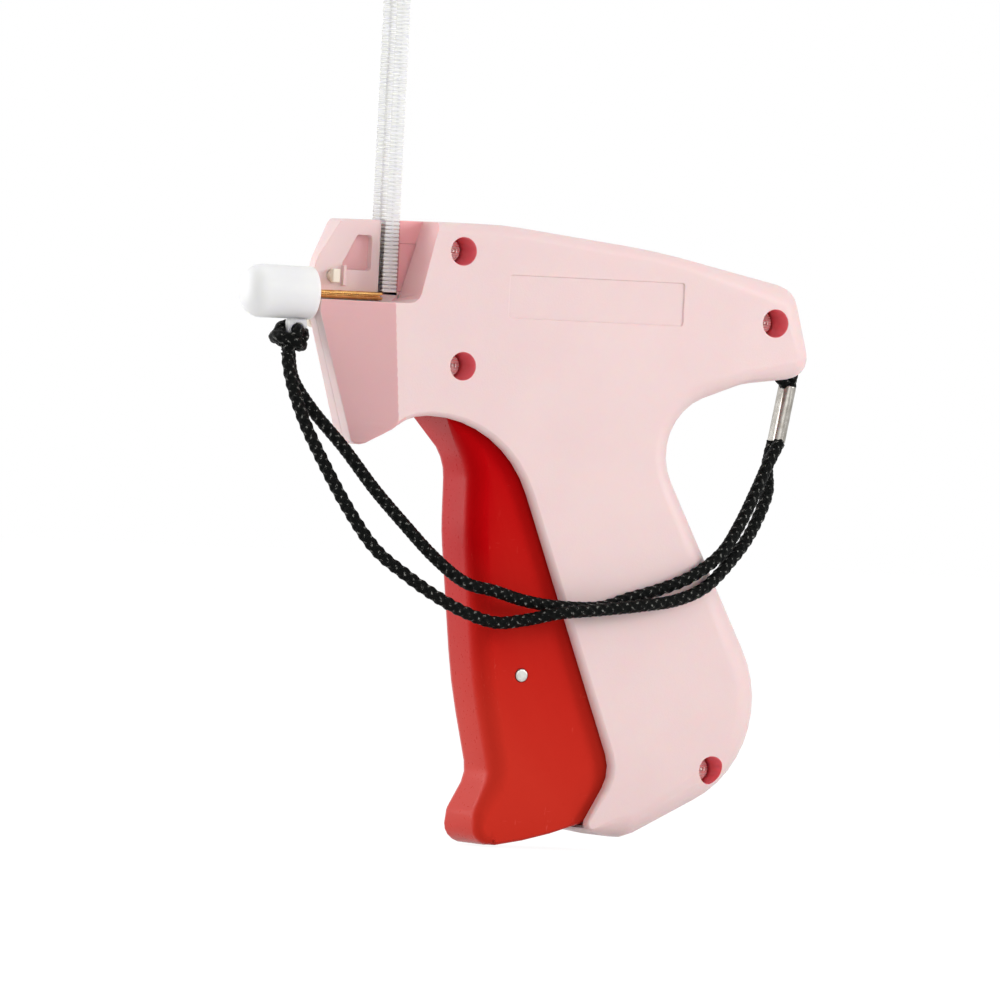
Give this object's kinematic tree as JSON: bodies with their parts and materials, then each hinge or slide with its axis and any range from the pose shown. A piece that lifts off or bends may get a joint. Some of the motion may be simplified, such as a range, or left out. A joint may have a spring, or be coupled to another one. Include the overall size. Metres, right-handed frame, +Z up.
{
  "type": "fabric tagging tool",
  "caption": "Pistol-grip fabric tagging tool with squeeze trigger, hollow needle under a cap, top-fed fastener clip and a cord lanyard from cap to tail.",
  "frame": {"origin": "centre of the hand grip, on the parting plane of the two shells", "axes": "+X to the tail, needle points to -X; +Y to the right-hand side; +Z up along the fastener clip"},
  "size_m": [0.1393, 0.0328, 0.2075],
  "materials": {
    "housing_plastic": "fine matte moulded grain",
    "trigger_plastic": "glossy moulded",
    "steel": "plain zinc plated",
    "spring_steel": "bright drawn",
    "lever_plastic": "moulded",
    "feed_plastic": "moulded",
    "needle_brass": "bright",
    "lock_plastic": "satin",
    "cap_plastic": "frosted",
    "clip_plastic": "translucent",
    "cord": "braided",
    "crimp_metal": "polished"
  },
  "bodies": {
    "housing": {"housing_left": "housing_plastic", "housing_right": "housing_plastic", "housing_screws": "steel", "trigger_pivot_pin": "steel", "lever_pivot_pin": "steel", "spring_anchor_pin": "steel", "return_spring": "spring_steel", "feed_wheel_axle": "steel", "feed_cover": "housing_plastic", "pawl_pin": "steel", "pawl_spring": "spring_steel", "needle": "needle_brass", "needle_hub": "needle_brass", "lanyard_strand_upper": "cord", "lanyard_strand_lower": "cord", "lanyard_crimp": "crimp_metal", "lanyard_tail_loop": "cord"},
    "trigger": {"trigger": "trigger_plastic", "trigger_pin": "steel"},
    "drive_lever": {"drive_lever": "lever_plastic"},
    "slider": {"slider": "lever_plastic", "slider_pin": "steel", "push_rod": "steel"},
    "feed_wheel": {"feed_wheel": "feed_plastic"},
    "feed_pawl": {"feed_pawl": "feed_plastic"},
    "needle_lock": {"needle_lock": "lock_plastic"},
    "needle_cap": {"needle_cap": "cap_plastic", "lanyard_knot": "cord"},
    "fastener_clip": {"fastener_clip": "clip_plastic"}
  },
  "joints": [
    {"name": "trigger_pull", "type": "hinge", "parent": "housing", "child": "trigger", "pos_m": [-0.042, 0, 0.049], "axis": [0, -1, 0], "range_deg": [0, 10.5], "stiffness_Nm_per_rad": 2, "springref_deg": -8.59},
    {"name": "lever_swing", "type": "hinge", "parent": "housing", "child": "drive_lever", "pos_m": [-0.0168, 0, 0.0096], "axis": [0, -1, 0], "range_deg": [0, 31.7], "deforming": ["return_spring"]},
    {"name": "slider_drive", "type": "slide", "parent": "housing", "child": "slider", "axis": [-1, 0, 0], "range_m": [0, 0.0337]},
    {"name": "pawl_rock", "type": "hinge", "parent": "housing", "child": "feed_pawl", "pos_m": [-0.0452, 0, 0.076], "axis": [0, -1, 0], "range_deg": [-4.5, 0]},
    {"name": "clip_feed", "type": "slide", "parent": "housing", "child": "fastener_clip", "axis": [0, 0, 1], "range_m": [0, 0.02]},
    {"name": "wheel_turn", "type": "hinge", "parent": "housing", "child": "feed_wheel", "pos_m": [-0.05277, 0, 0.0791], "axis": [0, -1, 0], "continuous": true},
    {"name": "needle_lock_turn", "type": "hinge", "parent": "housing", "child": "needle_lock", "pos_m": [-0.0699, 0, 0.07615], "axis": [0, 1, 0], "range_deg": [0, 90]},
    {"name": "cap_pull", "type": "slide", "parent": "housing", "child": "needle_cap", "axis": [-1, 0, 0], "range_m": [0, 0.032]}
  ],
  "couplings": [
    {"joint": "lever_swing", "follows": "trigger_pull", "ratio": 3.01},
    {"joint": "slider_drive", "follows": "trigger_pull", "m_per_rad": 0.1834},
    {"joint": "pawl_rock", "follows": "trigger_pull", "ratio": -0.4},
    {"joint": "wheel_turn", "follows": "clip_feed", "rad_per_m": -296.15}
  ]
}
